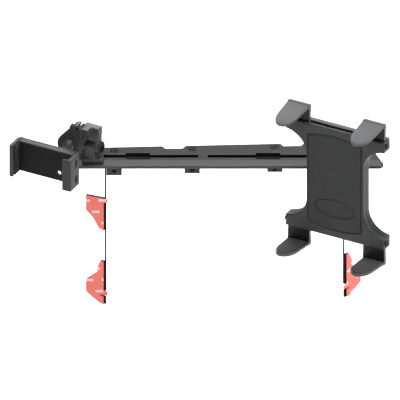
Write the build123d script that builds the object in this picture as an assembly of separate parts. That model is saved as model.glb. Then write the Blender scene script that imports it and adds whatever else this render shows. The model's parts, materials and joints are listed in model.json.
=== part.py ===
from build123d import *
import math
import os

# Dash rail with a phone cradle at its left and a tablet cradle at its right, in millimetres.
# X runs along the rail, +Y points away from the driver and +Z up.
# The origin is the middle of the rail's flat underside.

# Cutting shapes run past what they cut by the overrun, and a big block fills one side of a plane
overrun = 10.0
block = 200.0

# Rail
rail_length = 390.0
rail_front = 18.0
lip_height = 4.4
band_run = 12.9
band_rise = 1.8
face_tilt = 20.0
rear_at_left = 13.3
rear_at_right = 23.7
end_cut = 20.0
end_front = 6.0
end_corner = 4.0
left_corner = 4.0
slot_width = 5.0
slot_up_face = 5.8
slot_wall = 3.0
channel_width = 9.4
channel_height = 3.6
slot_left_margin = 7.0
slot_right_margin = 28.0
bridge_x = -34.2
bridge_width = 12.6
pocket_length = 31.0
pocket_width = 11.0
pocket_round = 2.0
pocket_x = (-117.2, 48.3)
notch_x = (-71.0, 79.0)
notch_length = 30.0
notch_depth = 4.0
notch_slope = 4.0

# Clips under the rail and the screws that hold them
clip_from_left = 48.0
clip_from_right = 39.7
inner_clip_x = (-48.0, 57.0)
clip_drops = (10.7, 7.7, 5.8, 5.8)
clip_width = 19.4
clip_plate = 2.5
clip_leg = 3.0
clip_setback = 2.0
clip_shelf = 7.0
window_width = 5.5
window_share = 0.4
window_deep = 2.0
screw_radius = 2.0
screw_head_radius = 4.6
screw_head_height = 2.2
screw_seat_radius = 4.8
screw_sunk = 0.2
screw_from_rear = 6.0
hex_across = 3.0
screw_nut_height = 3.2
screw_nut_radius = 4.0
screw_tip = 0.4
head_round = 0.8
hex_depth = 1.4
clip_margin = 1.0
bore_gap = 0.3

# Steel legs with their tape
leg_steel = 2.2
leg_depth = 12.0
leg_front = 8.0
leg_gap = 0.1
leg_length = 182.0
leg_shorter = (0.0, 10.0)
tab_yaw = (21.5, 42.0)
foam_thick = 1.2
liner_thick = 0.4
pad_inset = 0.8
ear_reach = 5.2
pad_width = 24.6
upper_pad_top = 47.0
upper_pad_side = 21.5
upper_pad_height = 48.0
lower_pad_top = 139.5
lower_pad_side = 18.0
lower_pad_height = 63.0
upper_waist = 15.2
upper_waist_down = 30.1
upper_toe = 6.9
upper_toe_up = 3.0
lower_top = 4.8
lower_waist = 10.0
lower_waist_down = 12.0
lower_neck = 8.3
lower_neck_down = 17.0
lower_corner_up = 14.0
lower_toe = 6.0
lower_toe_up = 1.5
slit_up = 11.0
slit_slope = 1.5
slit_open = 1.0
slit_reach = 5.5
ear_height = 6.5
ear_round = 1.2
liner_inset = 0.2

# Mount arms: foot on the rail, tilting arm, split socket and ball
foot_width = 27.0
foot_toe = -12.5
foot_heel = 9.0
foot_thick = 5.0
slide_gap = 0.25
pivot_y = -4.0
pivot_z = 27.0
knuckle_radius = 8.0
knuckle_width = 13.0
ear_width = 4.2
ear_radius = 8.5
side_gap = 0.3
bolt_radius = 3.0
bolt_gap = 0.06
bolt_head_radius = 7.6
bolt_head_height = 2.4
bolt_hex = 5.0
bolt_head_round = 0.9
bolt_hex_depth = 1.6
nut_across = 10.0
nut_height = 4.0
key_length = 20.0
key_width = 8.6
key_thick = 3.0
key_stud = 2.2
ball_radius = 10.0
ball_gap = 0.3
socket_radius = 15.0
socket_rim = 4.5
socket_band = 0.6
split_angle = 25.0
split_gap = 1.6
lug_reach = 27.0
lug_thick = 7.0
lug_depth = 13.0
lug_bolt_at = 24.5
lug_bolt_radius = 2.0
lug_head_radius = 3.6
lug_head_height = 4.0
lug_nut_height = 3.0
lug_hex_depth = 2.0
neck_radius = 5.0
flange_thick = 2.5
swivel_radius = 2.0
swivel_depth = 9.0
swivel_head_radius = 4.2
swivel_head_height = 2.0
swivel_hex_depth = 1.2
head_half = 11.5
head_back = 7.0
head_front = 4.0
head_low = 18.0
head_high = 29.0
fork_wall = 2.0
fork_wall_gap = 1.5
web_width = 12.0
web_step = 1.0
web_back = 9.0
web_down = 12.0
web_up = 28.0
web_hole_long = 6.0
web_hole_wide = 3.0

# Both cradles face left of the driver's line by this yaw
cradle_yaw = 28.0

# Phone cradle
phone_foot_in = 21.0
phone_arm_side = -14.9
phone_arm_reach = 35.1
phone_arm_rise = 15.4
phone_neck = 30.0
phone_width = 89.0
phone_height = 43.0
phone_front_shell = 8.0
phone_cover = 3.0
phone_wall = 2.2
phone_ball_u = 12.2
phone_ball_v = 10.0
jaw_wall = 5.0
jaw_depth = 17.6
jaw_height = 45.0
left_lip = 6.0
right_lip = 12.5
lip_thick = 3.4
jaw_plate = 2.0
jaw_plate_height = 32.0
jaw_plate_reach = 46.0
jaw_travel = 14.0
rib_count = 12
rib_height = 0.8
grip_thick = 1.4
grip_length = 42.0
grip_margin = 1.2
rib_width = 1.8
view_hole_radius = 2.4
view_hole_from_right = 25.5
view_hole_in = 11.9
view_notch_left = 9.0
view_notch_right = 3.0
jaw_chamfer = 1.6
jaw_slot_length = 11.0
jaw_slot_width = 6.0
jaw_slot_depth = 2.2
jaw_slot_rise = 2.0
cover_corner = 3.0
cover_screw_radius = 1.25
cover_screw_in = 4.0
cover_screw_up = 2.6
cover_head_radius = 2.2
cover_head_height = 1.2
drive_slot = 0.6
collar_radius = 9.0

# Tablet cradle
tablet_foot_in = 49.0
tablet_arm_side = 28.6
tablet_arm_reach = 44.2
tablet_arm_rise = -3.5
tablet_head_high = 24.0
tablet_neck = 20.0
tablet_height = 158.0
tablet_waist = 82.0
tablet_bar = 142.0
bar_height = 16.0
waist_radius = 32.0
front_shell = 8.5
rear_shell = 9.5
shell_wall = 2.5
tablet_ball_v = 4.1
face_pad_thick = 1.2
face_pad_half = 63.0
face_pad_bulge = 6.0
face_pad_margin = 1.9
badge_length = 54.0
badge_width = 22.0
badge_v = -36.7
badge_depth = 0.5
face_pad_gap = 0.2
shell_chamfer = 1.5
boss_radius = 3.5
shell_screw_radius = 1.5
shell_head_radius = 2.8
shell_head_height = 1.5
shell_screw_in = 8.0
shell_screw_rise = 15.0
claw_width = 31.0
claw_steel = 5.0
claw_from_end = 1.5
claw_front = 4.0
claw_out = 24.0
claw_in = 3.5
claw_tilt = 6.0
flap_reach = 56.0
flap_straight = 32.0
flap_taper = 1.2
flap_thick = 4.0
runner_width = 10.0
runner_room = 1.3
runner_length = 38.0
runner_cross = 8.0
runner_reach = 50.0
claw_travel_in = 8.0
claw_travel_out = 20.0
claw_pad_thick = 1.2
claw_pad_inset = 2.0
claw_pad_start = 1.5
lock_radius = 2.0
lock_head_radius = 3.6
lock_head_height = 2.4
lock_bite = 1.0

slope = math.tan(math.radians(face_tilt))
knee_y = band_run - rail_front
knee_z = lip_height + band_rise
yaw = math.radians(cradle_yaw)
u_dir = Vector(math.cos(yaw), -math.sin(yaw), 0)
n_dir = Vector(-math.sin(yaw), -math.cos(yaw), 0)
up_dir = Vector(0, 0, 1)
clip_x = (clip_from_left - rail_length / 2, *inner_clip_x, rail_length / 2 - clip_from_right)
phone_pivot = Vector(phone_foot_in - rail_length / 2, pivot_y, pivot_z)
tablet_pivot = Vector(rail_length / 2 - tablet_foot_in, pivot_y, pivot_z)
phone_ball = phone_pivot + u_dir * phone_arm_side + n_dir * phone_arm_reach + up_dir * phone_arm_rise
tablet_ball = tablet_pivot + u_dir * tablet_arm_side + n_dir * tablet_arm_reach + up_dir * tablet_arm_rise


def face_z(y):
    return knee_z + (y - knee_y) * slope


def rear_y(x):
    share = (x + rail_length / 2) / rail_length
    return rear_at_left + (rear_at_right - rear_at_left) * share


def face_plane(x, up_face=0.0, lift=0.0):
    # On the rail's sloping face: x along the rail, y up the slope, z out of the face
    tilt = math.radians(face_tilt)
    up = Vector(0, math.cos(tilt), math.sin(tilt))
    out = Vector(0, -math.sin(tilt), math.cos(tilt))
    start = Vector(x, knee_y, knee_z) + up * up_face + out * lift
    return Plane(start, x_dir=(1, 0, 0), z_dir=out)


def cradle_plane(front_centre):
    return Plane(front_centre, x_dir=u_dir, z_dir=n_dir)


def prism(points, low, high):
    # A closed outline drawn on XY and raised from low to high
    outline = make_face(Polyline(*points, close=True))
    return extrude(Pos(0, 0, low) * outline, high - low)


def cylinder_between(start, end, radius):
    start = Vector(*start)
    axis = Vector(*end) - start
    return extrude(Plane(start, z_dir=axis) * Circle(radius), axis.length)


def hex_prism(plane, across, depth):
    return extrude(plane * RegularPolygon(across / math.sqrt(3), 6), depth)


def save(name, shape):
    shape.label = name
    export_step(shape, os.path.join("parts", name + ".step"))


def build_rail():
    half = rail_length / 2
    far = rear_at_right + overrun
    section = [
        (-rail_front, 0),
        (-rail_front, lip_height),
        (knee_y, knee_z),
        (far, face_z(far)),
        (far, 0),
    ]
    profile = make_face(Polyline(*[(0, y, z) for y, z in section], close=True))
    body = Pos(-half, 0, 0) * extrude(profile, rail_length, dir=(1, 0, 0))
    outline = [(-half, -rail_front), (half - end_corner, -rail_front)]
    outline += [(half, end_corner - rail_front), (half, end_front - rail_front)]
    outline.append((half - end_cut, rear_y(half - end_cut)))
    for centre in reversed(notch_x):
        outer = notch_length / 2
        inner = outer - notch_slope
        for x, cut in ((outer, 0), (inner, notch_depth), (-inner, notch_depth), (-outer, 0)):
            outline.append((centre + x, rear_y(centre + x) - cut))
    outline.append((left_corner - half, rear_y(left_corner - half)))
    outline.append((-half, rear_y(-half) - left_corner))
    rail = body & prism(outline, -1, face_z(far) + 1)
    for low, high in slot_spans():
        long = high - low
        here = face_plane((low + high) / 2, slot_up_face)
        rail -= here * Pos(0, 0, -slot_wall / 2) * Box(long, slot_width, slot_wall + 2)
        sunk = -slot_wall - channel_height / 2
        rail -= here * Pos(0, 0, sunk) * Box(long, channel_width, channel_height)
    for x in pocket_x:
        pocket = RectangleRounded(pocket_length, pocket_width, pocket_round)
        rail -= face_plane(x, slot_up_face, 1) * extrude(pocket, -(slot_wall + channel_height + 1))
    for x in clip_x:
        hole, seat = screw_cuts(x)
        rail -= hole
        rail -= seat
    return rail


def slot_spans():
    half = rail_length / 2
    left = (slot_left_margin - half, bridge_x - bridge_width / 2)
    right = (bridge_x + bridge_width / 2, half - slot_right_margin)
    return left, right


def screw_seat(x):
    # The middle of the sunk seat, parallel to the sloping face, that a clip screw's head lies on
    y = rear_y(x) - screw_from_rear
    up_face = (y - knee_y) / math.cos(math.radians(face_tilt))
    return face_plane(x, up_face, -screw_head_height - screw_sunk)


def screw_cuts(x):
    place = screw_seat(x)
    start = place.origin
    hole = Pos(x, start.Y, start.Z / 2) * Cylinder(screw_radius + bore_gap, start.Z + overrun)
    seat = place * Pos(0, 0, overrun / 2) * Cylinder(screw_seat_radius, overrun)
    return hole, seat


def clip_stack(index):
    # How far below the rail a clip screw runs: the clip, and the leg's foot where there is one
    return clip_plate + (leg_steel if index in (0, len(clip_x) - 1) else 0)


def build_clip_screws():
    solids = []
    for index, x in enumerate(clip_x):
        place = screw_seat(x)
        bottom = -clip_stack(index) - screw_nut_height
        top = place.origin.Z + screw_head_height / 2
        head = extrude(Circle(screw_head_radius), screw_head_height)
        rim = head.edges().filter_by(GeomType.CIRCLE).sort_by(Axis.Z)[-1]
        head = fillet(rim, head_round)
        head -= hex_prism(Plane((0, 0, screw_head_height)), hex_across, -hex_depth)
        shank = Pos(x, place.origin.Y, (top + bottom) / 2) * Cylinder(screw_radius, top - bottom)
        shank -= place * Pos(0, 0, block / 2) * Box(block, block, block)
        solids.append(place.location * head + shank)
    return Compound(children=solids)


def build_clip_nuts():
    solids = []
    for index, x in enumerate(clip_x):
        y = screw_seat(x).origin.Y
        top = -clip_stack(index)
        nut = hex_prism(Plane((x, y, top)), 2 * screw_nut_radius, screw_tip - screw_nut_height)
        nut -= Pos(x, y, top) * Cylinder(screw_radius, 2 * overrun)
        solids.append(nut)
    return Compound(children=solids)


def build_clip(index):
    x = clip_x[index]
    drop = clip_drops[index]
    screw_y = screw_seat(x).origin.Y
    back = screw_y + screw_nut_radius + clip_margin
    front = clip_setback - rail_front
    plate = Box(clip_width, back - front, clip_plate)
    clip = Pos(x, (back + front) / 2, -clip_plate / 2) * plate
    clip += Pos(x, front + clip_leg / 2, -drop / 2) * Box(clip_width, clip_leg, drop)
    shelf = Box(clip_width, clip_shelf, clip_leg / 2)
    clip += Pos(x, front + clip_shelf / 2, -drop + clip_leg / 4) * shelf
    window = Box(window_width, 2 * window_deep, drop * window_share)
    clip -= Pos(x, front, -drop * window_share) * window
    clip -= Pos(x, screw_y, 0) * Cylinder(screw_radius + bore_gap, overrun)
    return clip


def leg_frame(side):
    # Where a leg's strip stands and which way its tabs fold: left leg to the left, right leg to the right
    left_edge = clip_x[-side] - clip_width / 2
    return left_edge - leg_gap - leg_steel / 2, (-1, 1)[side]


def tab_plane(side):
    # x runs out along the tab, y up, z towards the driver
    x, way = leg_frame(side)
    fold = math.radians(tab_yaw[side])
    along = Vector(way * math.cos(fold), math.sin(fold), 0)
    start = Vector(x + way * leg_steel / 2, -leg_front, 0)
    return Plane(start, x_dir=along, z_dir=along.cross(Vector(0, 0, 1)))


def pad_outline(side, upper, inset, ear):
    # Drawn from the fold outwards, with y at 0 under the rail; the ear is the liner's pull tab
    # The steel itself, which has no inset, starts inside the leg's strip
    drop = leg_shorter[side]
    wide = pad_width - inset
    near = inset if inset else -leg_steel
    if upper:
        top = drop - upper_pad_top - inset
        low = top - upper_pad_height + 2 * inset
        points = [(near, top), (wide, top), (wide, top - upper_pad_side)]
        points += [(upper_waist, top - upper_waist_down), (upper_toe, low + upper_toe_up), (near, low)]
        if ear:
            points += [(near, top - ear_height), (-ear_reach, top - ear_height + ear_round)]
            points += [(-ear_reach, top - ear_round), (ear_round - ear_reach, top)]
        return points
    top = drop - lower_pad_top - inset
    low = top - lower_pad_height + 2 * inset
    corner = low + lower_corner_up
    points = [(near, top), (lower_top, top), (lower_waist, top - lower_waist_down)]
    points += [(lower_neck, top - lower_neck_down), (wide, corner + lower_pad_side), (wide, corner)]
    points += [(lower_toe, low + lower_toe_up), (near, low)]
    points += [(near, low + slit_up), (slit_reach, low + slit_up + slit_slope)]
    points += [(slit_reach, low + slit_up + slit_slope + slit_open)]
    back = low + slit_up + slit_slope + slit_open
    if ear:
        points += [(ear_round - ear_reach, back), (-ear_reach, back + ear_round)]
        points += [(-ear_reach, back + ear_height - ear_round), (ear_round - ear_reach, back + ear_height)]
    points += [(near, back + ear_height)]
    return points


def tab_layer(side, upper, back, front, inset, ear):
    # One layer of a taped tab; heights are measured from the steel's back face
    plane = tab_plane(side)
    way = leg_frame(side)[1]
    low, high = (back, front) if way > 0 else (-front, -back)
    return plane * prism(pad_outline(side, upper, inset, ear), low, high)


def build_leg(side):
    x, way = leg_frame(side)
    drop = leg_shorter[side]
    low = drop - leg_length
    top = -clip_plate
    strip_y = (leg_depth - leg_steel) / 2 - leg_front
    leg = Pos(x, strip_y, (top + low) / 2) * Box(leg_steel, leg_depth + leg_steel, top - low)
    screw_x = clip_x[-side]
    screw_y = screw_seat(screw_x).origin.Y
    back = screw_y + screw_nut_radius + clip_margin
    left = x - leg_steel / 2
    right = screw_x + screw_nut_radius + clip_margin
    foot = Box(right - left, back + leg_front, leg_steel)
    leg += Pos((left + right) / 2, (back - leg_front) / 2, top - leg_steel / 2) * foot
    leg -= Pos(screw_x, screw_y, top) * Cylinder(screw_radius + bore_gap, overrun)
    for upper in (True, False):
        leg += tab_layer(side, upper, 0, leg_steel, 0, False)
    return leg


def build_foam(side, upper):
    return tab_layer(side, upper, leg_steel, leg_steel + foam_thick, pad_inset, False)


def build_liner(side, upper):
    start = leg_steel + foam_thick
    return tab_layer(side, upper, start, start + liner_thick, liner_inset, True)


def band_z(y):
    return lip_height + (y + rail_front) * band_rise / band_run


def side_plate(points, x, width):
    # A plate across X whose outline is given as (y, z) points
    outline = make_face(Polyline(*[(0, y, z) for y, z in points], close=True))
    return Pos(x - width / 2, 0, 0) * extrude(outline, width, dir=(1, 0, 0))


def pivot_plane(pivot):
    # x along the pivot's bolt, y towards the socket, z up
    return Plane(pivot, x_dir=u_dir, z_dir=up_dir)


def pivot_rod(low, high, radius):
    # Round stock along the pivot bolt, drawn on the pivot's own plane
    return Pos((low + high) / 2, 0, 0) * Rot(0, 90, 0) * Cylinder(radius, high - low)


def build_foot(pivot):
    # Sits over the rail's knee on both faces and carries the turned lug with the pivot's barrel
    base = [
        (foot_toe, band_z(foot_toe) + slide_gap),
        (knee_y, knee_z + slide_gap),
        (foot_heel, face_z(foot_heel) + slide_gap),
        (foot_heel, face_z(foot_heel) + foot_thick),
        (foot_toe, band_z(foot_toe) + foot_thick),
    ]
    foot = side_plate(base, pivot.X, foot_width)
    lug = Pos(0, 0, -pivot.Z / 2) * Box(knuckle_width, 2 * knuckle_radius, pivot.Z)
    lug += pivot_rod(-knuckle_width / 2, knuckle_width / 2, knuckle_radius)
    near = knee_y - block
    far = knee_y + block
    room = [(near, band_z(near) + slide_gap), (knee_y, knee_z + slide_gap), (far, face_z(far) + slide_gap)]
    room += [(far, block), (near, block)]
    foot += pivot_plane(pivot).location * lug & side_plate(room, pivot.X, 2 * foot_width)
    bore = pivot_rod(-knuckle_width, knuckle_width, bolt_radius + bolt_gap)
    foot -= pivot_plane(pivot).location * bore
    key_bore = face_plane(pivot.X, slot_up_face) * Cylinder(key_stud + slide_gap, 2 * foot_thick - 1)
    return foot - key_bore


def build_key(pivot):
    # The T-nut in the rail's channel, with its stud up through the slot into the foot
    low = -slot_wall - slide_gap - key_thick
    here = face_plane(pivot.X, slot_up_face, low + key_thick / 2)
    key = here * Box(key_length, key_width, key_thick)
    high = foot_thick - 1
    stud = face_plane(pivot.X, slot_up_face, (low + high) / 2) * Cylinder(key_stud, high - low)
    return key + stud


def ear_outer():
    return knuckle_width / 2 + side_gap + ear_width


def build_pivot_bolt(pivot):
    outer = ear_outer()
    bolt = pivot_rod(-outer - nut_height, outer + side_gap, bolt_radius)
    head = pivot_rod(outer, outer + bolt_head_height, bolt_head_radius)
    bolt += fillet(head.edges().filter_by(GeomType.CIRCLE).sort_by(Axis.X)[-1], bolt_head_round)
    rim = Plane((outer + bolt_head_height, 0, 0), z_dir=(1, 0, 0))
    return pivot_plane(pivot).location * (bolt - hex_prism(rim, bolt_hex, -bolt_hex_depth))


def build_pivot_nut(pivot):
    outer = ear_outer()
    nut = hex_prism(Plane((-outer - nut_height, 0, 0), z_dir=(1, 0, 0)), nut_across, nut_height)
    nut -= pivot_rod(-outer - nut_height - 1, 1 - outer, bolt_radius)
    return pivot_plane(pivot).location * nut


def above(height):
    return Pos(0, 0, height + block / 2) * Box(block, block, block)


def beside(edge, way):
    return Pos(edge + way * block / 2, 0, 0) * Box(block, block, block)


def socket_frame(ball, hand):
    # x across the split, y towards the clamp lugs, z out of the socket's mouth
    lean = math.radians(split_angle) * hand
    towards = up_dir * math.cos(lean) + u_dir * math.sin(lean)
    return Plane(ball, x_dir=towards.cross(n_dir), z_dir=n_dir)


def build_socket(ball, hand):
    # Both halves of the ball cup with their lugs, before the split
    cup = Sphere(socket_radius)
    ends = Circle(socket_radius + socket_band) + Pos(0, lug_reach) * Circle(lug_thick + split_gap / 2)
    cup += Pos(0, 0, socket_rim - lug_depth) * extrude(make_hull(ends.edges()), lug_depth)
    cup -= above(socket_rim)
    cup -= Sphere(ball_radius + ball_gap)
    return socket_frame(ball, hand).location * cup - lug_bore(ball, hand)


def build_arm(pivot, ball, hand):
    # A fork over the foot's barrel, a web forward from its head, and one half of the ball cup
    frame = socket_frame(ball, hand)
    arm = build_socket(ball, hand) & frame.location * beside(hand * split_gap / 2, hand)
    arm += pivot_plane(pivot).location * arm_fork(head_top(hand))
    arm += arm_web(pivot, ball, hand)
    arm -= Pos(ball) * Sphere(ball_radius + ball_gap)
    arm -= pivot_plane(pivot).location * pivot_rod(-block, block, bolt_radius + bolt_gap)
    return arm - lug_bore(ball, hand)


def head_top(hand):
    return head_high if hand > 0 else tablet_head_high


def arm_fork(top):
    outer = ear_outer()
    depth = head_back + head_front
    middle = (head_front - head_back) / 2
    fork = Pos(0, middle, (head_low + top) / 2) * Box(2 * head_half, depth, top - head_low)
    for way in (-1, 1):
        place = way * (outer - ear_width / 2)
        fork += Pos(place, middle, head_low / 2) * Box(ear_width, depth, head_low)
        fork += Pos(place, 0, 0) * Rot(0, 90, 0) * Cylinder(ear_radius, ear_width)
    low = knuckle_radius + fork_wall_gap
    wall = Box(2 * outer - ear_width, fork_wall, head_low - low + fork_wall)
    return fork + Pos(0, fork_wall / 2 - head_back, (low + head_low + fork_wall) / 2) * wall


def arm_web(pivot, ball, hand):
    # Drawn in the plane across the pivot, then kept to a plate along the socket's split
    reach = (ball - pivot).dot(n_dir)
    rise = (ball - pivot).dot(up_dir)
    low = head_low + web_step
    high = head_top(hand) - web_step
    outline = [
        (web_step - head_back, low),
        (web_step - head_back, high),
        (head_front - web_step, high),
        (reach - web_back, rise + web_up),
        (reach + socket_rim - web_step, rise + web_up),
        (reach + socket_rim - web_step, rise),
        (reach - web_back, rise - web_down),
        (head_front - web_step, low),
    ]
    side = Plane(pivot, x_dir=n_dir, z_dir=n_dir.cross(up_dir))
    web = side.location * prism(outline, -block / 2, block / 2)
    hole = SlotOverall(web_hole_long, web_hole_wide)
    middle = Pos((reach + head_front) / 2, (head_top(hand) + rise) / 2)
    web -= side.location * middle * extrude(hole, block, both=True)
    place = Pos(hand * (split_gap + web_width) / 2, 0, 0)
    return web & socket_frame(ball, hand).location * place * Box(web_width, block, block)


def lug_bore(ball, hand):
    # The clamp bolt's bore, with flat seats for its head and its nut
    bore = Cylinder(lug_bolt_radius + bolt_gap, block)
    for way in (-1, 1):
        out = way * (lug_thick + split_gap / 2 + overrun)
        bore += Pos(0, 0, out) * Cylinder(lug_head_radius + bore_gap, 2 * overrun)
    place = Pos(0, lug_bolt_at, socket_rim - lug_depth / 2) * Rot(0, 90, 0)
    return socket_frame(ball, hand).location * place * bore


def build_clamp_cap(ball, hand):
    frame = socket_frame(ball, hand)
    return build_socket(ball, hand) & frame.location * beside(-hand * split_gap / 2, -hand)


def build_clamp_bolt(ball, hand):
    half = lug_thick + split_gap / 2
    shank = Rot(0, 90, 0) * Cylinder(lug_bolt_radius, 2 * half + 2)
    head = Rot(0, 90, 0) * Cylinder(lug_head_radius, lug_head_height)
    nut = Rot(0, 90, 0) * Cylinder(lug_head_radius, lug_nut_height)
    bolt = shank + Pos(hand * (half + lug_head_height / 2), 0, 0) * head
    bolt += Pos(-hand * (half + lug_nut_height / 2), 0, 0) * nut
    rim = Plane((hand * (half + lug_head_height), 0, 0), z_dir=(hand, 0, 0))
    bolt -= hex_prism(rim, hex_across, -lug_hex_depth)
    return socket_frame(ball, hand).location * Pos(0, lug_bolt_at, socket_rim - lug_depth / 2) * bolt


def build_ball(ball, neck):
    # Ball, neck and the round flange that bears on the cradle's back
    end = ball + n_dir * (neck - side_gap)
    stud = Pos(ball) * Sphere(ball_radius)
    stud += cylinder_between(ball, end, neck_radius)
    stud += cylinder_between(end - n_dir * flange_thick, end, collar_radius)
    return stud - cylinder_between(end - n_dir * swivel_depth, end + n_dir, swivel_radius)


def build_swivel_screw(ball, neck, wall):
    # Runs from inside the cradle through its back wall into the ball's neck
    end = ball + n_dir * (neck - side_gap)
    seat = end + n_dir * (wall + 2 * side_gap)
    screw = cylinder_between(end - n_dir * swivel_depth, seat, swivel_radius)
    top = seat + n_dir * swivel_head_height
    screw += cylinder_between(seat, top, swivel_head_radius)
    return screw - hex_prism(Plane(top, z_dir=n_dir), hex_across, -swivel_hex_depth)


def phone_frame():
    centre = phone_ball + n_dir * (phone_neck + phone_cover + phone_front_shell)
    centre -= u_dir * phone_ball_u
    centre -= up_dir * phone_ball_v
    return cradle_plane(centre)


def view_hole_place():
    return phone_width / 2 - view_hole_from_right, view_hole_in - phone_height / 2


def view_hole():
    # A sight hole through the front skin, with a notch behind it that is open to the lower edge
    x, y = view_hole_place()
    low = -phone_height / 2 - overrun
    high = y + view_notch_right
    wide = view_notch_left + view_notch_right
    notch = Pos(x + (view_notch_right - view_notch_left) / 2, (low + high) / 2, -phone_wall - block / 2)
    return Pos(x, y, 0) * Cylinder(view_hole_radius, block) + notch * Box(wide, high - low, block)


def build_phone_body():
    # Front shell with the fixed left jaw, hollow behind for the jaw's slide plate
    right = phone_width / 2 - jaw_wall - side_gap
    left = -phone_width / 2
    plate = Box(right - left, phone_height, phone_front_shell)
    shell = Pos((left + right) / 2, 0, -phone_front_shell / 2) * plate
    low = left + jaw_wall
    high = right + overrun
    depth = phone_front_shell - phone_wall
    hollow = Box(high - low, jaw_plate_height + 2 * side_gap, depth)
    shell -= Pos((low + high) / 2, 0, -phone_wall - depth / 2) * hollow
    jaw = Pos(left + jaw_wall / 2, 0, jaw_depth / 2) * Box(jaw_wall, jaw_height, jaw_depth)
    lip = Box(left_lip, jaw_height, lip_thick)
    shell += jaw
    shell += Pos(left + left_lip / 2, 0, jaw_depth - lip_thick / 2) * lip
    heel = Box(jaw_wall, jaw_height, phone_front_shell)
    shell += Pos(left + jaw_wall / 2, 0, -phone_front_shell / 2) * heel
    shell = chamfer(shell.edges().filter_by(Axis.Y).sort_by(Axis.X)[0:2], jaw_chamfer)
    return phone_frame().location * (shell - view_hole())


def build_phone_cover():
    right = phone_width / 2 - jaw_wall - side_gap
    left = -phone_width / 2
    back = -phone_front_shell - phone_cover / 2
    cover = Pos((left + right) / 2, 0, back) * Box(right - left, phone_height, phone_cover)
    cover = fillet(cover.edges().filter_by(Axis.Z), cover_corner)
    cover -= Pos(phone_ball_u, phone_ball_v, 0) * Cylinder(swivel_radius + bolt_gap, block)
    for x, y in phone_screw_places():
        cover -= Pos(x, y, back) * Cylinder(cover_screw_radius + bolt_gap, overrun)
    return phone_frame().location * (cover - view_hole())


def phone_screw_places():
    right = phone_width / 2 - jaw_wall - side_gap - cover_screw_in
    left = cover_screw_in - phone_width / 2
    y = phone_height / 2 - cover_screw_up
    return [(left, y), (right, y), (left, -y), (right, -y)]


def build_phone_screws():
    solids = []
    for x, y in phone_screw_places():
        base = -phone_front_shell - phone_cover
        head = Cylinder(cover_head_radius, cover_head_height)
        shank = Cylinder(cover_screw_radius, phone_cover)
        screw = Pos(x, y, base - cover_head_height / 2) * head + Pos(x, y, base + phone_cover / 2) * shank
        screw -= Pos(x, y, base - cover_head_height) * Box(2 * cover_screw_radius, drive_slot, drive_slot)
        solids.append(screw)
    group = Compound(children=solids)
    return phone_frame().location * group


def build_phone_jaw():
    # Moving right jaw on a flat slide plate that runs inside the body
    right = phone_width / 2
    wall = Pos(right - jaw_wall / 2, 0, (jaw_depth - phone_front_shell) / 2)
    jaw = wall * Box(jaw_wall, jaw_height, jaw_depth + phone_front_shell)
    lip = Pos(right - right_lip / 2, 0, jaw_depth - lip_thick / 2) * Box(right_lip, jaw_height, lip_thick)
    jaw += lip
    jaw = chamfer(jaw.edges().filter_by(Axis.Y).sort_by(Axis.X)[-2:], jaw_chamfer)
    plate_z = -phone_wall - side_gap - jaw_plate / 2
    plate = Box(jaw_plate_reach, jaw_plate_height, jaw_plate)
    plate = Pos(right - jaw_wall - jaw_plate_reach / 2, 0, plate_z) * plate
    clear = 2 * (jaw_travel + view_hole_radius + side_gap)
    hole_x, hole_y = view_hole_place()
    plate -= Pos(hole_x, hole_y, plate_z) * Box(clear, 2 * (view_hole_in + side_gap), overrun)
    jaw += plate
    for way in (-1, 1):
        place = Plane((right, way * jaw_height / 4, jaw_slot_rise), x_dir=(0, 1, 0), z_dir=(1, 0, 0))
        jaw -= extrude(place * SlotOverall(jaw_slot_length, jaw_slot_width), -jaw_slot_depth)
    return phone_frame().location * jaw


def build_grip(way):
    # A ribbed rubber strip on the inside of a phone jaw
    inner = phone_width / 2 - jaw_wall
    depth = jaw_depth - lip_thick - 2 * grip_margin
    middle = grip_margin + depth / 2
    strip = Pos(way * (inner - grip_thick / 2), 0, middle) * Box(grip_thick, grip_length, depth)
    pitch = (grip_length - rib_width) / (rib_count - 1)
    for index in range(rib_count):
        y = (rib_width - grip_length) / 2 + index * pitch
        x = way * (inner - grip_thick - rib_height / 2)
        strip += Pos(x, y, middle) * Box(rib_height, rib_width, depth)
    return phone_frame().location * strip


def tablet_frame():
    centre = tablet_ball + n_dir * (tablet_neck + rear_shell + front_shell)
    centre -= up_dir * tablet_ball_v
    return cradle_plane(centre)


def tablet_outline(inset=0.0):
    # The I-shaped plate: wide bars at top and bottom and a waist with round shoulders
    bar = tablet_bar / 2 - inset
    top = tablet_height / 2 - inset
    waist = tablet_waist / 2 - inset
    shoulder = tablet_height / 2 - bar_height + inset
    sketch = Rectangle(2 * bar, 2 * top)
    radius = waist_radius + inset
    low = shoulder - radius
    for way in (-1, 1):
        sketch -= Pos(way * (waist + block / 2), 0) * Rectangle(block, 2 * low)
        for end in (-1, 1):
            sketch -= Pos(way * (waist + radius), end * low) * Circle(radius)
            place = Pos(way * (waist + radius + block / 2), end * (shoulder - radius / 2))
            sketch -= place * Rectangle(block, radius)
    return sketch


def claw_places():
    x = tablet_bar / 2 - claw_from_end - claw_width / 2
    return {"upper_left": (-x, 1), "upper_right": (x, 1), "lower_left": (-x, -1), "lower_right": (x, -1)}


def claw_slots():
    # One long slot in each edge of the shells, for the stems of both claws there
    cuts = []
    room = tablet_bar - 2 * claw_from_end + 2 * side_gap
    z = -claw_front - claw_steel / 2
    for end in (-1, 1):
        cut = Box(room, 2 * (claw_in + claw_travel_in + side_gap), claw_steel + 2 * side_gap)
        cuts.append(Pos(0, end * tablet_height / 2, z) * cut)
    return cuts


def lock_places():
    z = -claw_front - claw_steel / 2
    y = tablet_height / 2 - bar_height / 2
    return [(way * tablet_bar / 2, end * y, z, way) for way in (-1, 1) for end in (-1, 1)]


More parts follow.
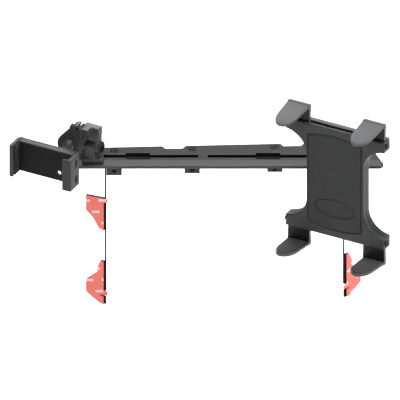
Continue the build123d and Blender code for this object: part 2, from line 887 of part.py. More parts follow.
def build_front_shell():
    shell = extrude(tablet_outline(), -front_shell)
    shell = chamfer(shell.faces().sort_by(Axis.Z)[-1].edges(), shell_chamfer)
    shell -= Pos(0, 0, -shell_wall) * extrude(tablet_outline(shell_wall), -front_shell)
    shell -= extrude(face_pad_sketch(face_pad_gap), -face_pad_thick)
    for cut in claw_slots():
        shell -= cut
    for x, y, z, way in lock_places():
        shell -= Pos(x, y, z) * Rot(0, 90, 0) * Cylinder(lock_radius + bolt_gap, overrun)
    return tablet_frame().location * shell


def build_rear_shell():
    bottom = -front_shell - rear_shell
    shell = Pos(0, 0, -front_shell) * extrude(tablet_outline(), -rear_shell)
    shell = chamfer(shell.faces().sort_by(Axis.Z)[0].edges(), shell_chamfer)
    depth = rear_shell - shell_wall
    shell -= Pos(0, 0, -front_shell) * extrude(tablet_outline(shell_wall), -depth)
    shell += Pos(0, tablet_ball_v, bottom + rear_shell / 2) * Cylinder(collar_radius, rear_shell)
    for x, y in shell_screw_places():
        shell += Pos(x, y, bottom + rear_shell / 2) * Cylinder(boss_radius, rear_shell)
    shell -= Pos(0, tablet_ball_v, bottom) * Cylinder(swivel_radius + bolt_gap, block)
    for x, y in shell_screw_places():
        shell -= Pos(x, y, bottom) * Cylinder(shell_screw_radius + bolt_gap, block)
        sunk = Cylinder(shell_head_radius + bore_gap, shell_head_height)
        shell -= Pos(x, y, bottom + shell_head_height / 2) * sunk
    for cut in claw_slots():
        shell -= cut
    for x, y, z, way in lock_places():
        shell -= Pos(x, y, z) * Rot(0, 90, 0) * Cylinder(lock_radius + bolt_gap, overrun)
    return tablet_frame().location * shell


def shell_screw_places():
    x = tablet_waist / 2 - shell_screw_in
    return [(way * x, up * shell_screw_rise) for way in (-1, 1) for up in (-1, 1)]


def build_shell_screws():
    solids = []
    bottom = -front_shell - rear_shell
    for x, y in shell_screw_places():
        head = Pos(x, y, bottom + shell_head_height / 2) * Cylinder(shell_head_radius, shell_head_height)
        shank = Pos(x, y, bottom + rear_shell / 2) * Cylinder(shell_screw_radius, rear_shell)
        screw = head + shank
        for long, wide in ((shell_head_radius, drive_slot), (drive_slot, shell_head_radius)):
            screw -= Pos(x, y, bottom) * Box(long, wide, shell_head_height)
        solids.append(screw)
    return tablet_frame().location * Compound(children=solids)


def face_pad_sketch(grow=0.0):
    half = tablet_waist / 2 - face_pad_margin + grow
    side = face_pad_half + grow
    bulge = face_pad_bulge
    lines = [
        Line((-half, -side), (-half, side)),
        ThreePointArc((-half, side), (0, side + bulge), (half, side)),
        Line((half, side), (half, -side)),
        ThreePointArc((half, -side), (0, -side - bulge), (-half, -side)),
    ]
    return make_face(Wire(lines))


def build_face_pad():
    pad = extrude(face_pad_sketch(), -face_pad_thick)
    badge = Pos(0, badge_v, 0) * Ellipse(badge_length / 2, badge_width / 2)
    pad -= extrude(badge, -badge_depth)
    return tablet_frame().location * pad


def build_claw(name):
    x, end = claw_places()[name]
    edge = tablet_height / 2
    z = -claw_front - claw_steel / 2
    stem = Pos(x, edge + (claw_out - claw_in) / 2, z) * Box(claw_width, claw_out + claw_in, claw_steel)
    side = 1 if x > 0 else -1
    inner_x = side * (tablet_waist / 2 - shell_wall - runner_room - runner_width / 2)
    cross_y = edge - claw_in - runner_cross / 2
    near_x = abs(inner_x) - runner_width / 2
    cross = Box(runner_reach - near_x, runner_cross, claw_steel)
    stem += Pos(side * (runner_reach + near_x) / 2, cross_y, z) * cross
    stem += Pos(inner_x, cross_y - runner_length / 2, z) * Box(runner_width, runner_length, claw_steel)
    stem += flap_place(x) * extrude(claw_flap_sketch(0.0, 0.0), flap_thick)
    return finish_claw(stem, end)


def finish_claw(shape, end):
    if end < 0:
        shape = mirror(shape, Plane.XZ)
    return tablet_frame().location * shape


def flap_place(x):
    # At the outer end of a claw's stem, with y running forwards along the flap
    edge = tablet_height / 2 + claw_out
    corner = Plane((x, edge, -claw_front - claw_steel), x_dir=(1, 0, 0), z_dir=(0, 1, 0))
    return corner.location * Rot(180 + claw_tilt, 0, 0)


def claw_flap_sketch(inset, start):
    # A tongue with an oval end, drawn from the stem's rear face outwards
    half = claw_width / 2 - inset
    side = half - flap_taper
    corners = [(-half, start), (half, start), (side, flap_straight), (-side, flap_straight)]
    tongue = make_face(Polyline(*corners, close=True))
    return tongue + Pos(0, flap_straight) * Ellipse(side, flap_reach - flap_straight - inset)


def build_claw_pad(name):
    # Rubber on the flap's inner face
    x, end = claw_places()[name]
    sketch = claw_flap_sketch(claw_pad_inset, claw_steel + claw_pad_start)
    pad = Pos(0, 0, flap_thick) * extrude(sketch, claw_pad_thick)
    return finish_claw(flap_place(x) * pad, end)


def build_lock_screws():
    solids = []
    for x, y, z, way in lock_places():
        shank = Pos(x, y, z) * Rot(0, 90, 0) * Cylinder(lock_radius, 2 * lock_bite)
        head = Rot(0, 90, 0) * Cylinder(lock_head_radius, lock_head_height)
        screw = shank + Pos(x + way * lock_head_height / 2, y, z) * head
        rim = Plane((x + way * lock_head_height, y, z), z_dir=(way, 0, 0))
        screw -= hex_prism(rim, hex_across, -hex_depth)
        solids.append(screw)
    return tablet_frame().location * Compound(children=solids)


def build_mount(side, pivot, ball, neck, hand, wall):
    save(side + "_foot", build_foot(pivot))
    save(side + "_slot_key", build_key(pivot))
    save(side + "_pivot_bolt", build_pivot_bolt(pivot))
    save(side + "_pivot_nut", build_pivot_nut(pivot))
    save(side + "_arm", build_arm(pivot, ball, hand))
    save(side + "_clamp_cap", build_clamp_cap(ball, hand))
    save(side + "_clamp_bolt", build_clamp_bolt(ball, hand))
    save(side + "_ball", build_ball(ball, neck))
    save(side + "_swivel_screw", build_swivel_screw(ball, neck, wall))


def build_all():
    os.makedirs("parts", exist_ok=True)
    save("rail", build_rail())
    save("clip_screws", build_clip_screws())
    save("clip_nuts", build_clip_nuts())
    for index in range(len(clip_x)):
        save("clip_" + str(index + 1), build_clip(index))
    for side, name in enumerate(("left", "right")):
        save(name + "_leg", build_leg(side))
        for upper, level in ((True, "upper"), (False, "lower")):
            save(name + "_" + level + "_tape", build_foam(side, upper))
            save(name + "_" + level + "_liner", build_liner(side, upper))
    build_mount("phone", phone_pivot, phone_ball, phone_neck, 1, phone_cover)
    save("phone_body", build_phone_body())
    save("phone_cover", build_phone_cover())
    save("phone_cover_screws", build_phone_screws())
    save("phone_jaw", build_phone_jaw())
    save("phone_left_grip", build_grip(-1))
    save("phone_right_grip", build_grip(1))
    build_mount("tablet", tablet_pivot, tablet_ball, tablet_neck, -1, rear_shell)
    save("tablet_front_shell", build_front_shell())
    save("tablet_rear_shell", build_rear_shell())
    save("tablet_face_pad", build_face_pad())
    save("tablet_shell_screws", build_shell_screws())
    save("claw_lock_screws", build_lock_screws())
    for name in claw_places():
        save(name + "_claw", build_claw(name))
        save(name + "_claw_pad", build_claw_pad(name))


build_all()
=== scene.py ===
import json
import math

import bmesh
import bpy
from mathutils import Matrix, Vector
from mathutils.bvhtree import BVHTree


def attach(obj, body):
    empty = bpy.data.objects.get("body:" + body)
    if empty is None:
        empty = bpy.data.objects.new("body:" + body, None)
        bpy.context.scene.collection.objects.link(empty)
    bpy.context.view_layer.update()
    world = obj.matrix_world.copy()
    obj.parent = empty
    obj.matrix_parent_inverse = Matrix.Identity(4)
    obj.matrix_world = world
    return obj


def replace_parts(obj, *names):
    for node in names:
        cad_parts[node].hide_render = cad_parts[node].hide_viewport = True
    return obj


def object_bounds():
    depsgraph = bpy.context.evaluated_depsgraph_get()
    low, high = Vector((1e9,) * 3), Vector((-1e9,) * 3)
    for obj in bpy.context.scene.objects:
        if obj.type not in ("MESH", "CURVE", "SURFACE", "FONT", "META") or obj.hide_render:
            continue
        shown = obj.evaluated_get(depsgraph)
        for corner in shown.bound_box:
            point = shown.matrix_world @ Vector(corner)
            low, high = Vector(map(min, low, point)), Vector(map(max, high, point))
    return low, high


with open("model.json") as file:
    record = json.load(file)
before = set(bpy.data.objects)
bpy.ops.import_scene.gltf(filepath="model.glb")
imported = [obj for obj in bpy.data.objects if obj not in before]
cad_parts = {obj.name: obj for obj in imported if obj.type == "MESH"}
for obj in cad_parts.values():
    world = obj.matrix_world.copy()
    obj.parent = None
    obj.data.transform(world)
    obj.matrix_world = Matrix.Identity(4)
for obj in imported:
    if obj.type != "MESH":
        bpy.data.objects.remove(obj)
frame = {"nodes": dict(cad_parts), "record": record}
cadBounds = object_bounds()
nodes = frame["nodes"]
mm = 0.001

# the view: straight from the front, looking down, with no perspective
view = {
    "elevation": 30.0,
    "width": 508 * mm,
    "target": (-38.1 * mm, -18 * mm, -45.5 * mm),
    "distance": 1.4,
}


def towards(azimuth, elevation):
    a, e = math.radians(azimuth), math.radians(elevation)
    return Vector((math.sin(a) * math.cos(e), -math.cos(a) * math.cos(e), math.sin(e)))


def look(thing, away):
    thing.rotation_euler = away.to_track_quat("Z", "Y").to_euler()


def makeCamera():
    lens = bpy.data.cameras.new("camera")
    lens.type = "ORTHO"
    lens.ortho_scale = view["width"]
    camera = bpy.data.objects.new("camera", lens)
    bpy.context.scene.collection.objects.link(camera)
    away = towards(0, view["elevation"])
    camera.location = Vector(view["target"]) + away * view["distance"]
    look(camera, away)
    bpy.context.scene.camera = camera
    print("camera placed")


class Wire:
    # a shader socket that can be used in a sum
    def __init__(self, web, socket):
        self.web = web
        self.socket = socket

    def sum(self, operation, first, second):
        return self.web.add("ShaderNodeMath", {"operation": operation}, {0: first, 1: second})

    def __add__(self, other):
        return self.sum("ADD", self, other)

    def __radd__(self, other):
        return self.sum("ADD", other, self)

    def __sub__(self, other):
        return self.sum("SUBTRACT", self, other)

    def __rsub__(self, other):
        return self.sum("SUBTRACT", other, self)

    def __mul__(self, other):
        return self.sum("MULTIPLY", self, other)

    def __rmul__(self, other):
        return self.sum("MULTIPLY", other, self)

    def __lt__(self, other):
        return self.sum("LESS_THAN", self, other)

    def __gt__(self, other):
        return self.sum("GREATER_THAN", self, other)


class Web:
    # the nodes of a finish or of the world
    def __init__(self, tree):
        self.tree = tree

    def feed(self, socket, value):
        if isinstance(value, Wire):
            self.tree.links.new(value.socket, socket)
        else:
            socket.default_value = value

    def add(self, kind, settings, inputs, output=0):
        node = self.tree.nodes.new(kind)
        for key, value in settings.items():
            setattr(node, key, value)
        for key, value in inputs.items():
            self.feed(node.inputs[key], value)
        return Wire(self, node.outputs[output])


class Finish(Web):
    def __init__(self, name, **fixed):
        self.material = bpy.data.materials.new(name)
        self.material.use_nodes = True
        super().__init__(self.material.node_tree)
        self.shader = self.tree.nodes["Principled BSDF"]
        for socket, value in fixed.items():
            self.shader.inputs[socket.replace("_", " ")].default_value = value

    def place(self, stretch=(1, 1, 1), turn=(0, 0, 0)):
        spot = self.add("ShaderNodeTexCoord", {}, {}, "Object")
        return self.add("ShaderNodeMapping", {}, {"Vector": spot, "Scale": stretch, "Rotation": turn})

    def noise(self, scale, detail, stretch=(1, 1, 1)):
        inputs = {"Vector": self.place(stretch), "Scale": scale, "Detail": detail}
        return self.add("ShaderNodeTexNoise", {}, inputs, 0)

    def cells(self, scale, feature="F1"):
        inputs = {"Vector": self.place(), "Scale": scale}
        return self.add("ShaderNodeTexVoronoi", {"feature": feature}, inputs, "Distance")

    def mix(self, share, first, second):
        inputs = {0: share, 6: first, 7: second}
        return self.add("ShaderNodeMix", {"data_type": "RGBA"}, inputs, 2)

    def dress(self, colour, roughness, height, depth, strength):
        self.feed(self.shader.inputs["Base Color"], colour)
        self.feed(self.shader.inputs["Roughness"], roughness)
        bump = self.add("ShaderNodeBump", {}, {"Height": height, "Distance": depth, "Strength": strength})
        self.feed(self.shader.inputs["Normal"], bump)
        return self.material


def shade(colour, factor):
    return tuple(c * factor for c in colour) + (1.0,)


def grainedPlastic(name, colour, roughness, grain, depth, strength, gloss=0.38):
    finish = Finish(name, Specular_IOR_Level=gloss)
    broad = finish.noise(18.0, 3.0)
    fine = finish.noise(grain, 2.0)
    tone = finish.mix(broad * 0.6 + fine * 0.4, shade(colour, 0.8), shade(colour, 1.25))
    rough = (broad - 0.5) * 0.16 + (fine - 0.5) * 0.1 + roughness
    return finish.dress(tone, rough, fine, depth, strength)


def leatherPlastic(name, colour, roughness):
    # pebbled like fine leather, with creases between the pebbles
    finish = Finish(name, Specular_IOR_Level=0.32)
    pebbles = finish.cells(420.0)
    creases = finish.cells(420.0, "DISTANCE_TO_EDGE")
    broad = finish.noise(12.0, 3.0)
    fine = finish.noise(1500.0, 2.0)
    height = creases * 1.2 - pebbles * 0.5 + fine * 0.25
    # the colour darkens towards the creases: painted shade in them
    tone = finish.mix(broad * 0.5 + creases * 0.8, shade(colour, 0.8), shade(colour, 1.3))
    rough = (broad - 0.5) * 0.14 + roughness - pebbles * 0.06
    return finish.dress(tone, rough, height, 0.35 * mm, 0.55)


def anodised(name, colour):
    # extruded bar: faint lines along its length under a satin black coat
    finish = Finish(name, Metallic=0.1, Specular_IOR_Level=0.6)
    lines = finish.noise(900.0, 2.0, (0.02, 1, 1))
    broad = finish.noise(10.0, 3.0)
    fine = finish.noise(2600.0, 1.0)
    tone = finish.mix(broad * 0.5 + lines * 0.5, shade(colour, 0.85), shade(colour, 1.2))
    rough = (lines - 0.5) * 0.16 + (broad - 0.5) * 0.12 + 0.36
    return finish.dress(tone, rough, lines * 0.6 + fine * 0.4, 0.06 * mm, 0.35)


def coatedSteel(name, colour, roughness):
    # powder coat with its orange peel
    finish = Finish(name, Specular_IOR_Level=0.15)
    peel = finish.noise(700.0, 1.0)
    broad = finish.noise(22.0, 3.0)
    tone = finish.mix(broad, shade(colour, 0.8), shade(colour, 1.3))
    rough = (peel - 0.5) * 0.2 + (broad - 0.5) * 0.12 + roughness
    return finish.dress(tone, rough, peel, 0.08 * mm, 0.5)


def oxideSteel(name, colour):
    finish = Finish(name, Metallic=0.85)
    swirl = finish.noise(1400.0, 2.0, (1, 1, 0.2))
    broad = finish.noise(60.0, 3.0)
    tone = finish.mix(broad * 0.6 + swirl * 0.4, shade(colour, 0.6), shade(colour, 1.5))
    return finish.dress(tone, (swirl - 0.5) * 0.25 + 0.38, swirl, 0.03 * mm, 0.4)


def castAlloy(name, colour, roughness):
    finish = Finish(name, Metallic=0.25)
    sand = finish.noise(1100.0, 3.0)
    broad = finish.noise(35.0, 3.0)
    tone = finish.mix(broad * 0.6 + sand * 0.4, shade(colour, 0.75), shade(colour, 1.3))
    rough = (sand - 0.5) * 0.2 + (broad - 0.5) * 0.15 + roughness
    return finish.dress(tone, rough, sand, 0.12 * mm, 0.5)


def rubber(name, colour):
    finish = Finish(name, Specular_IOR_Level=0.25)
    fine = finish.noise(1800.0, 2.0)
    broad = finish.noise(25.0, 3.0)
    tone = finish.mix(broad, shade(colour, 0.8), shade(colour, 1.4))
    return finish.dress(tone, (broad - 0.5) * 0.12 + 0.72, fine, 0.06 * mm, 0.4)


def foam(name, colour):
    finish = Finish(name)
    pores = finish.cells(1600.0)
    broad = finish.noise(60.0, 3.0)
    # the colour darkens in the pores: painted shade in them
    tone = finish.mix(pores * 0.7 + broad * 0.3, shade(colour, 0.6), shade(colour, 1.6))
    return finish.dress(tone, 0.85 - pores * 0.1, pores, 0.2 * mm, 0.6)


# bars on the liners: rows and bars to the metre, slant in degrees, each row's shift, the inked share
linerPrint = {
    "rows": 62.0,
    "bars": 48.0,
    "slant": 14.0,
    "shift": 0.41,
    "inkUp": (0.3, 0.52),
    "inkAlong": (0.2, 0.68),
}


def releaseFilm(name, colour, ink):
    # thin waxy film, with plain slanted bars printed on it
    finish = Finish(name, Coat_Weight=0.25, Coat_Roughness=0.2)
    wrinkle = finish.noise(60.0, 2.0)
    broad = finish.noise(28.0, 2.0)
    tone = finish.mix(broad, shade(colour, 0.93), shade(colour, 1.06))
    spot = finish.place((1, 1, 1), (0, math.radians(linerPrint["slant"]), 0))
    x = finish.add("ShaderNodeSeparateXYZ", {}, {0: spot}, 0)
    z = finish.add("ShaderNodeSeparateXYZ", {}, {0: spot}, 2)
    rows = z * linerPrint["rows"]
    row = finish.add("ShaderNodeMath", {"operation": "FRACT"}, {0: rows})
    step = finish.add("ShaderNodeMath", {"operation": "FLOOR"}, {0: rows})
    bar = x * linerPrint["bars"] + step * linerPrint["shift"]
    along = finish.add("ShaderNodeMath", {"operation": "FRACT"}, {0: bar})
    low, high = linerPrint["inkUp"]
    start, end = linerPrint["inkAlong"]
    bars = (row > low) * (row < high) * (along > start) * (along < end)
    tone = finish.mix(bars, tone, ink + (1.0,))
    return finish.dress(tone, (wrinkle - 0.5) * 0.15 + 0.42, wrinkle, 0.25 * mm, 0.5)


finishes = {
    "black_alloy": anodised("blackAlloy", (0.024, 0.0244, 0.0256)),
    "black_steel": coatedSteel("blackSteel", (0.004, 0.004, 0.0045), 0.5),
    "screw_steel": oxideSteel("screwSteel", (0.035, 0.035, 0.037)),
    "black_plastic": grainedPlastic("blackPlastic", (0.026, 0.0265, 0.0275), 0.45, 1300.0, 0.1 * mm, 0.45),
    "cast_black": castAlloy("castBlack", (0.042, 0.042, 0.044), 0.4),
    "face_grain": leatherPlastic("faceGrain", (0.022, 0.0225, 0.0235), 0.55),
    "rubber": rubber("rubber", (0.012, 0.012, 0.0125)),
    # pad_rubber is the claw pads' own rubber, and also the painted highlight on the grip ribs' tops
    "pad_rubber": rubber("padRubber", (0.042, 0.042, 0.043)),
    "foam_tape": foam("foamTape", (0.03, 0.03, 0.03)),
    # slot_shade is a near-black finish that paints shade into the rail's slot and pockets, the clips' blind
    # windows and the shells' parting line
    "slot_shade": rubber("slotShade", (0.006, 0.006, 0.0062)),
    # a darker copy of the black plastic: painted shade on the phone's recessed plate
    "plate_painted_shade": grainedPlastic("platePaintedShade", (0.004, 0.0041, 0.0043), 0.6, 1300.0, 0.1 * mm, 0.45, 0.2),
    "claw_plastic": grainedPlastic("clawPlastic", (0.066, 0.067, 0.069), 0.36, 1100.0, 0.12 * mm, 0.5),
    # a darker copy of the claw plastic: painted shade on the claws' inner faces
    "claw_painted_shade": grainedPlastic("clawPaintedShade", (0.006, 0.0061, 0.0064), 0.45, 1300.0, 0.1 * mm, 0.45, 0.3),
    "red_liner": releaseFilm("redLiner", (0.9, 0.17, 0.13), (0.85, 0.62, 0.58)),
}

bodies = frame["record"]["behaviour"]["bodies"]
bodyOf = {node: body for body, members in bodies.items() for node in members}
slotOf = {part["node"]: part["material_slot"] for part in frame["record"]["subparts"]}


def dressFrame():
    for name, node in nodes.items():
        for slot in node.material_slots:
            slot.link = "OBJECT"
            slot.material = finishes[slotOf[name]]
    print("frame dressed:", len(nodes))


# copies of a node: its doubles are merged within this distance, and flat faces joined within this angle
merge = {"distance": 0.002 * mm, "flat": 1.0}

# angle in degrees up to which a piece is shaded smooth; the rail's sloping faces differ by little
smoothUpTo = {"rail": 7}
smoothOthers = 32


def mergedForm(name, joinFlat=True):
    form = bmesh.new()
    form.from_mesh(nodes[name].data)
    bmesh.ops.remove_doubles(form, verts=form.verts, dist=merge["distance"])
    if joinFlat:
        flat = math.radians(merge["flat"])
        bmesh.ops.dissolve_limit(form, angle_limit=flat, verts=form.verts, edges=form.edges)
    return form


def bevelEdges(form, least, offset, segments, clamp):
    # every edge that turns by more than the least angle, in degrees
    turn = math.radians(least)
    edges = [e for e in form.edges if e.is_manifold and e.calc_face_angle(0) > turn]
    bmesh.ops.bevel(
        form, geom=edges, offset=offset, offset_type="OFFSET", affect="EDGES",
        segments=segments, profile=0.5, material=-1, clamp_overlap=clamp, loop_slide=False,
    )


def finishPiece(form, name, node, finish=None):
    mesh = bpy.data.meshes.new(name)
    form.to_mesh(mesh)
    form.free()
    mesh.shade_smooth()
    mesh.set_sharp_from_angle(angle=math.radians(smoothUpTo.get(node, smoothOthers)))
    piece = bpy.data.objects.new(name, mesh)
    bpy.context.scene.collection.objects.link(piece)
    mesh.materials.append(finishes[finish or slotOf[node]])
    weigh = piece.modifiers.new("evenShading", "WEIGHTED_NORMAL")
    weigh.keep_sharp = True  # flat faces look flat beside round edges
    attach(piece, bodyOf[node])
    return piece


sameWay = 0.99  # two directions count as one above this

# painted shade darkens the rail's slot and pockets inside: measured up the sloping face and into it, from
# its knee
slotShade = {
    "kneeY": -5.1 * mm,
    "kneeZ": 6.2 * mm,
    "tilt": 20.0,
    "low": 0.1 * mm,
    "high": 11.5 * mm,
    "near": 0.4 * mm,
    "deep": 9 * mm,
    "above": 0.2 * mm,
}
# where painted shade fills the blind window of a clip's front leg
windowShade = {"front": -15.9 * mm, "back": -13.9 * mm, "half": 2.8 * mm, "below": -0.4 * mm}


def shadeFaces(piece, kind, isShaded):
    # the faces that are picked take a second finish
    piece.data.materials.append(finishes[kind])
    for face in piece.data.polygons:
        if isShaded(face):
            face.material_index = 1


def shadeSlots(piece):
    # painted shade on the inner faces of the slot, the pockets and the screw seats
    tilt = math.radians(slotShade["tilt"])

    def isInside(face):
        y, z = face.center.y - slotShade["kneeY"], face.center.z - slotShade["kneeZ"]
        up = y * math.cos(tilt) + z * math.sin(tilt)
        depth = y * math.sin(tilt) - z * math.cos(tilt)
        inside = slotShade["low"] < up < slotShade["high"] and slotShade["near"] < depth < slotShade["deep"]
        return inside and face.center.z > slotShade["above"] and abs(face.normal.x) < sameWay

    shadeFaces(piece, "slot_shade", isInside)


def shadeWindow(piece):
    # painted shade in the blind window in a clip's front leg
    middle = sum(v.co.x for v in piece.data.vertices) / len(piece.data.vertices)

    def isInside(face):
        x, y, z = face.center
        deep = windowShade["front"] < y < windowShade["back"]
        return deep and abs(x - middle) < windowShade["half"] and z < windowShade["below"]

    shadeFaces(piece, "slot_shade", isInside)


# the cradles are turned by this; the way that they face, and the way across them
cradleYaw = math.radians(28.0)
facing = Vector((-math.sin(cradleYaw), -math.cos(cradleYaw), 0.0))
across = Vector((math.cos(cradleYaw), -math.sin(cradleYaw), 0.0))

# where a second finish lies on the cradles, in depth along the way that they face
cradleShade = {
    "plateDepth": 0.3 * mm,
    "clawDepth": 9 * mm,
    "clawFacing": 0.7,
    "seamDepth": 8.5 * mm,
    "seamHalf": 0.75 * mm,
    "seamFacing": 0.97,
    "ribDepth": 0.3 * mm,
}


def shadePlate(piece):
    # painted shade: the phone's plate, recessed between the jaws, is a duller black
    flat = [face for face in piece.data.polygons if face.normal.dot(facing) > sameWay]
    plate = max(flat, key=lambda face: face.area).center.dot(facing)

    def isPlate(face):
        near = abs(face.center.dot(facing) - plate) < cradleShade["plateDepth"]
        return near and face.normal.dot(facing) > sameWay

    shadeFaces(piece, "plate_painted_shade", isPlate)


def shadeClaw(piece):
    # painted shade: the side of the upright that the tablet leans on, under the flap, is a duller black
    back = min(v.co.dot(facing) for v in piece.data.vertices)

    def isInner(face):
        near = face.center.dot(facing) - back < cradleShade["clawDepth"]
        return near and face.normal.dot(facing) > cradleShade["clawFacing"]

    shadeFaces(piece, "claw_painted_shade", isInner)


def shadeSeam(piece):
    # the parting line between the two shells is in shade
    front = max(v.co.dot(facing) for v in nodes["tablet_front_shell"].data.vertices)

    def isSeam(face):
        away = abs(front - cradleShade["seamDepth"] - face.center.dot(facing))
        return away < cradleShade["seamHalf"] and abs(face.normal.dot(facing)) < cradleShade["seamFacing"]

    shadeFaces(piece, "slot_shade", isSeam)


def paintRibHighlights(piece):
    # painted highlight: the ribs' tops take a lighter finish
    places = [v.co.dot(across) for v in piece.data.vertices]
    top = max(places) if "left" in piece.name else min(places)

    def isTop(face):
        return abs(face.center.dot(across) - top) < cradleShade["ribDepth"]

    shadeFaces(piece, "pad_rubber", isTop)


def box(form):
    low = [min(v.co[i] for v in form.verts) for i in range(3)]
    high = [max(v.co[i] for v in form.verts) for i in range(3)]
    return low, high


def keepInside(form, low, high):
    for v in form.verts:
        v.co = Vector([min(max(v.co[i], low[i]), high[i]) for i in range(3)])


# rounded edges: node, radius in millimetres, least angle in degrees that counts as an edge
softEdges = {
    "rail": (0.5, 8),
    "clip_1": (0.5, 30),
    "clip_2": (0.5, 30),
    "clip_3": (0.5, 30),
    "clip_4": (0.5, 30),
    "left_leg": (0.35, 30),
    "right_leg": (0.35, 30),
    "phone_foot": (0.9, 24),
    "phone_arm": (0.8, 24),
    "phone_clamp_cap": (0.8, 24),
    "phone_clamp_bolt": (0.25, 30),
    "phone_ball": (0.3, 30),
    "phone_body": (0.9, 30),
    "phone_cover": (0.8, 30),
    "phone_jaw": (1.0, 30),
    "phone_left_grip": (0.15, 30),
    "phone_right_grip": (0.15, 30),
    "tablet_foot": (0.9, 24),
    "tablet_arm": (0.8, 24),
    "tablet_clamp_cap": (0.8, 24),
    "tablet_clamp_bolt": (0.25, 30),
    "tablet_ball": (0.3, 30),
    "tablet_front_shell": (0.7, 24),
    "tablet_rear_shell": (0.7, 24),
    "upper_left_claw": (0.9, 30),
    "upper_right_claw": (0.9, 30),
    "lower_left_claw": (0.9, 30),
    "lower_right_claw": (0.9, 30),
    "upper_left_claw_pad": (0.4, 30),
    "upper_right_claw_pad": (0.4, 30),
    "lower_left_claw_pad": (0.4, 30),
    "lower_right_claw_pad": (0.4, 30),
    "claw_lock_screws": (0.4, 30),
    "clip_screws": (0.2, 40),
    "left_upper_liner": (0.12, 30),
    "left_lower_liner": (0.12, 30),
    "right_upper_liner": (0.12, 30),
    "right_lower_liner": (0.12, 30),
}

# what is tried for a rounded edge, in turn: share of the radius, and whether flat faces are joined first
roundings = ((1.0, True), (0.7, True), (1.0, False), (0.7, False), (0.45, True), (0.45, False))
mostArea = 1.002  # the faces' area may grow by this much
mostStray = 0.7  # a point further than this share of the radius from the old surface goes back to it
endFinishes = {"_claw": "claw_plastic", "_claw_pad": "pad_rubber"}


def facesArea(form):
    return sum(face.calc_area() for face in form.faces)


def roundedForm(name, radius, least, joinFlat):
    # the node's own shape with its edges rounded, or nothing where that would spoil a face
    form = mergedForm(name, joinFlat)
    low, high = box(form)
    bevelEdges(form, least, radius * mm, 2, False)
    plain = mergedForm(name, False)
    surface = BVHTree.FromBMesh(plain)
    for v in form.verts:
        spot, _, _, gap = surface.find_nearest(v.co)
        if gap > mostStray * radius * mm:
            v.co = spot
    keepInside(form, low, high)
    bmesh.ops.triangulate(form, faces=[face for face in form.faces if len(face.verts) > 4])
    growth = facesArea(form) / facesArea(plain)
    plain.free()
    if growth < mostArea:
        return form
    form.free()
    return None


def bestForm(name, radius, least):
    for share, joinFlat in roundings:
        form = roundedForm(name, radius * share, least, joinFlat)
        if form:
            return form
    print("edges left sharp:", name)
    return mergedForm(name, False)


def shadeParts(name, piece):
    # a second finish on some faces
    if name == "rail":
        shadeSlots(piece)
    if name == "phone_body":
        shadePlate(piece)
    if name.endswith("_claw"):
        shadeClaw(piece)
    if name.endswith("_shell"):
        shadeSeam(piece)
    if name.endswith("_grip"):
        paintRibHighlights(piece)
    if name.startswith("clip_") and name != "clip_screws":
        shadeWindow(piece)


def softenEdges():
    for name, (radius, least) in softEdges.items():
        form = bestForm(name, radius, least)
        finish = next((kind for ending, kind in endFinishes.items() if name.endswith(ending)), None)
        piece = finishPiece(form, name + "_soft", name, finish)
        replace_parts(piece, name)
        shadeParts(name, piece)
    print("edges softened:", len(softEdges))


# the textured face: a groove runs round it and round the bare oval
facePad = {
    "rim": 0.7 * mm,
    "wall": 0.35 * mm,
    "floor": 0.5 * mm,
    "depth": 0.8 * mm,
    "edge": 0.18 * mm,
    "corner": 40.0,  # least angle of an edge that is eased
    "level": 0.05 * mm,  # how far from the front a face may lie
}


def makeFacePad():
    node = "tablet_face_pad"
    form = mergedForm(node)
    form.normal_update()
    forward = max(form.faces, key=lambda face: face.calc_area() * (-face.normal.y)).normal.copy()
    front = max(v.co.dot(forward) for v in form.verts)

    def isFront(face):
        level = abs(face.calc_center_median().dot(forward) - front) < facePad["level"]
        return level and face.normal.dot(forward) > sameWay

    # the rim, then down into the groove, along its floor and up again
    steps = (
        (facePad["rim"], 0.0),
        (facePad["wall"], -facePad["depth"]),
        (facePad["floor"], 0.0),
        (facePad["wall"], facePad["depth"]),
    )
    faces = [face for face in form.faces if isFront(face)]
    for thickness, depth in steps:
        bmesh.ops.inset_region(form, faces=faces, thickness=thickness, depth=depth, use_even_offset=True)
    bevelEdges(form, facePad["corner"], facePad["edge"], 1, True)
    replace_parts(finishPiece(form, "face_pad_grained", node), node)
    print("face pad made")


# a pale floor just under the part, and soft lamps round it
studio = {
    "world": 0.2,  # light from all round
    "floorGrey": 0.88,
    "floorGlow": 0.8,  # how white the camera sees the floor
    "floorGleam": 0.15,  # how much of that a reflection sees
    "floorRoughness": 0.9,
    "floorGloss": 0.1,
    "floorSize": 8.0,
    "floorGap": 0.4 * mm,
    "lamps": [
        # name, azimuth, elevation, distance, size, power
        ("backSoftbox", 178.0, 28.0, 1.3, 0.7, 8.0),
        ("topSoftbox", 30.0, 82.0, 1.3, 0.7, 15.0),
        ("frontFill", -28.0, 34.0, 1.6, 0.9, 9.5),
        ("rightRim", 78.0, 24.0, 1.4, 0.5, 12.0),
    ],
}


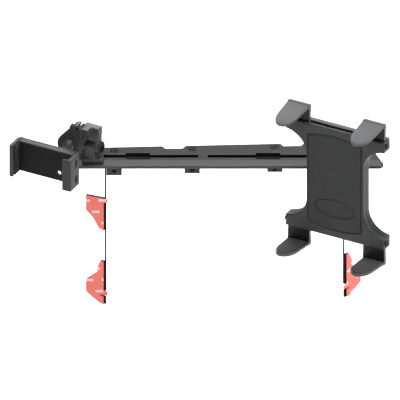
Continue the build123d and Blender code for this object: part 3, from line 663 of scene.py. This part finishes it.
def makeWorld():
    # a dim light all round; the camera alone sees it white, so that the black stays black
    world = bpy.data.worlds.new("studioWorld")
    bpy.context.scene.world = world
    world.use_nodes = True
    web = Web(world.node_tree)
    web.tree.nodes.remove(web.tree.nodes["Background"])
    white = shade((1, 1, 1), 1)
    lit = web.add("ShaderNodeBackground", {}, {"Color": white, "Strength": studio["world"]})
    plain = web.add("ShaderNodeBackground", {}, {"Color": white, "Strength": 1.0})
    camera = web.add("ShaderNodeLightPath", {}, {}, "Is Camera Ray")
    seen = web.add("ShaderNodeMixShader", {}, {0: camera, 1: lit, 2: plain})
    web.feed(web.tree.nodes["World Output"].inputs["Surface"], seen)


def makeFloor():
    low = cadBounds[0][2] - studio["floorGap"]
    form = bmesh.new()
    bmesh.ops.create_grid(form, x_segments=1, y_segments=1, size=studio["floorSize"])
    bmesh.ops.translate(form, verts=form.verts, vec=(0, 0, low))
    mesh = bpy.data.meshes.new("floor")
    form.to_mesh(mesh)
    form.free()
    floor = bpy.data.objects.new("floor", mesh)
    bpy.context.scene.collection.objects.link(floor)
    finish = Finish(
        "paleFloor",
        Base_Color=shade((1, 1, 1), studio["floorGrey"]),
        Roughness=studio["floorRoughness"],
        Specular_IOR_Level=studio["floorGloss"],
        Emission_Strength=1.0,
    )
    camera = finish.add("ShaderNodeLightPath", {}, {}, "Is Camera Ray")
    glossy = finish.add("ShaderNodeLightPath", {}, {}, "Is Glossy Ray")
    seen = camera + glossy * studio["floorGleam"]
    glow = finish.mix(seen, (0, 0, 0, 1), shade((1, 1, 1), studio["floorGlow"]))
    finish.feed(finish.shader.inputs["Emission Color"], glow)
    mesh.materials.append(finish.material)


def makeLamps():
    for name, azimuth, elevation, distance, size, power in studio["lamps"]:
        lamp = bpy.data.lights.new(name, "AREA")
        lamp.size = size
        lamp.energy = power
        holder = bpy.data.objects.new(name, lamp)
        bpy.context.scene.collection.objects.link(holder)
        away = towards(azimuth, elevation)
        holder.location = Vector(view["target"]) + away * distance
        look(holder, away)


def makeStudio():
    makeWorld()
    makeFloor()
    makeLamps()
    bpy.context.scene.view_settings.view_transform = "Standard"
    print("studio ready")


makeCamera()
dressFrame()
softenEdges()
makeFacePad()
makeStudio()
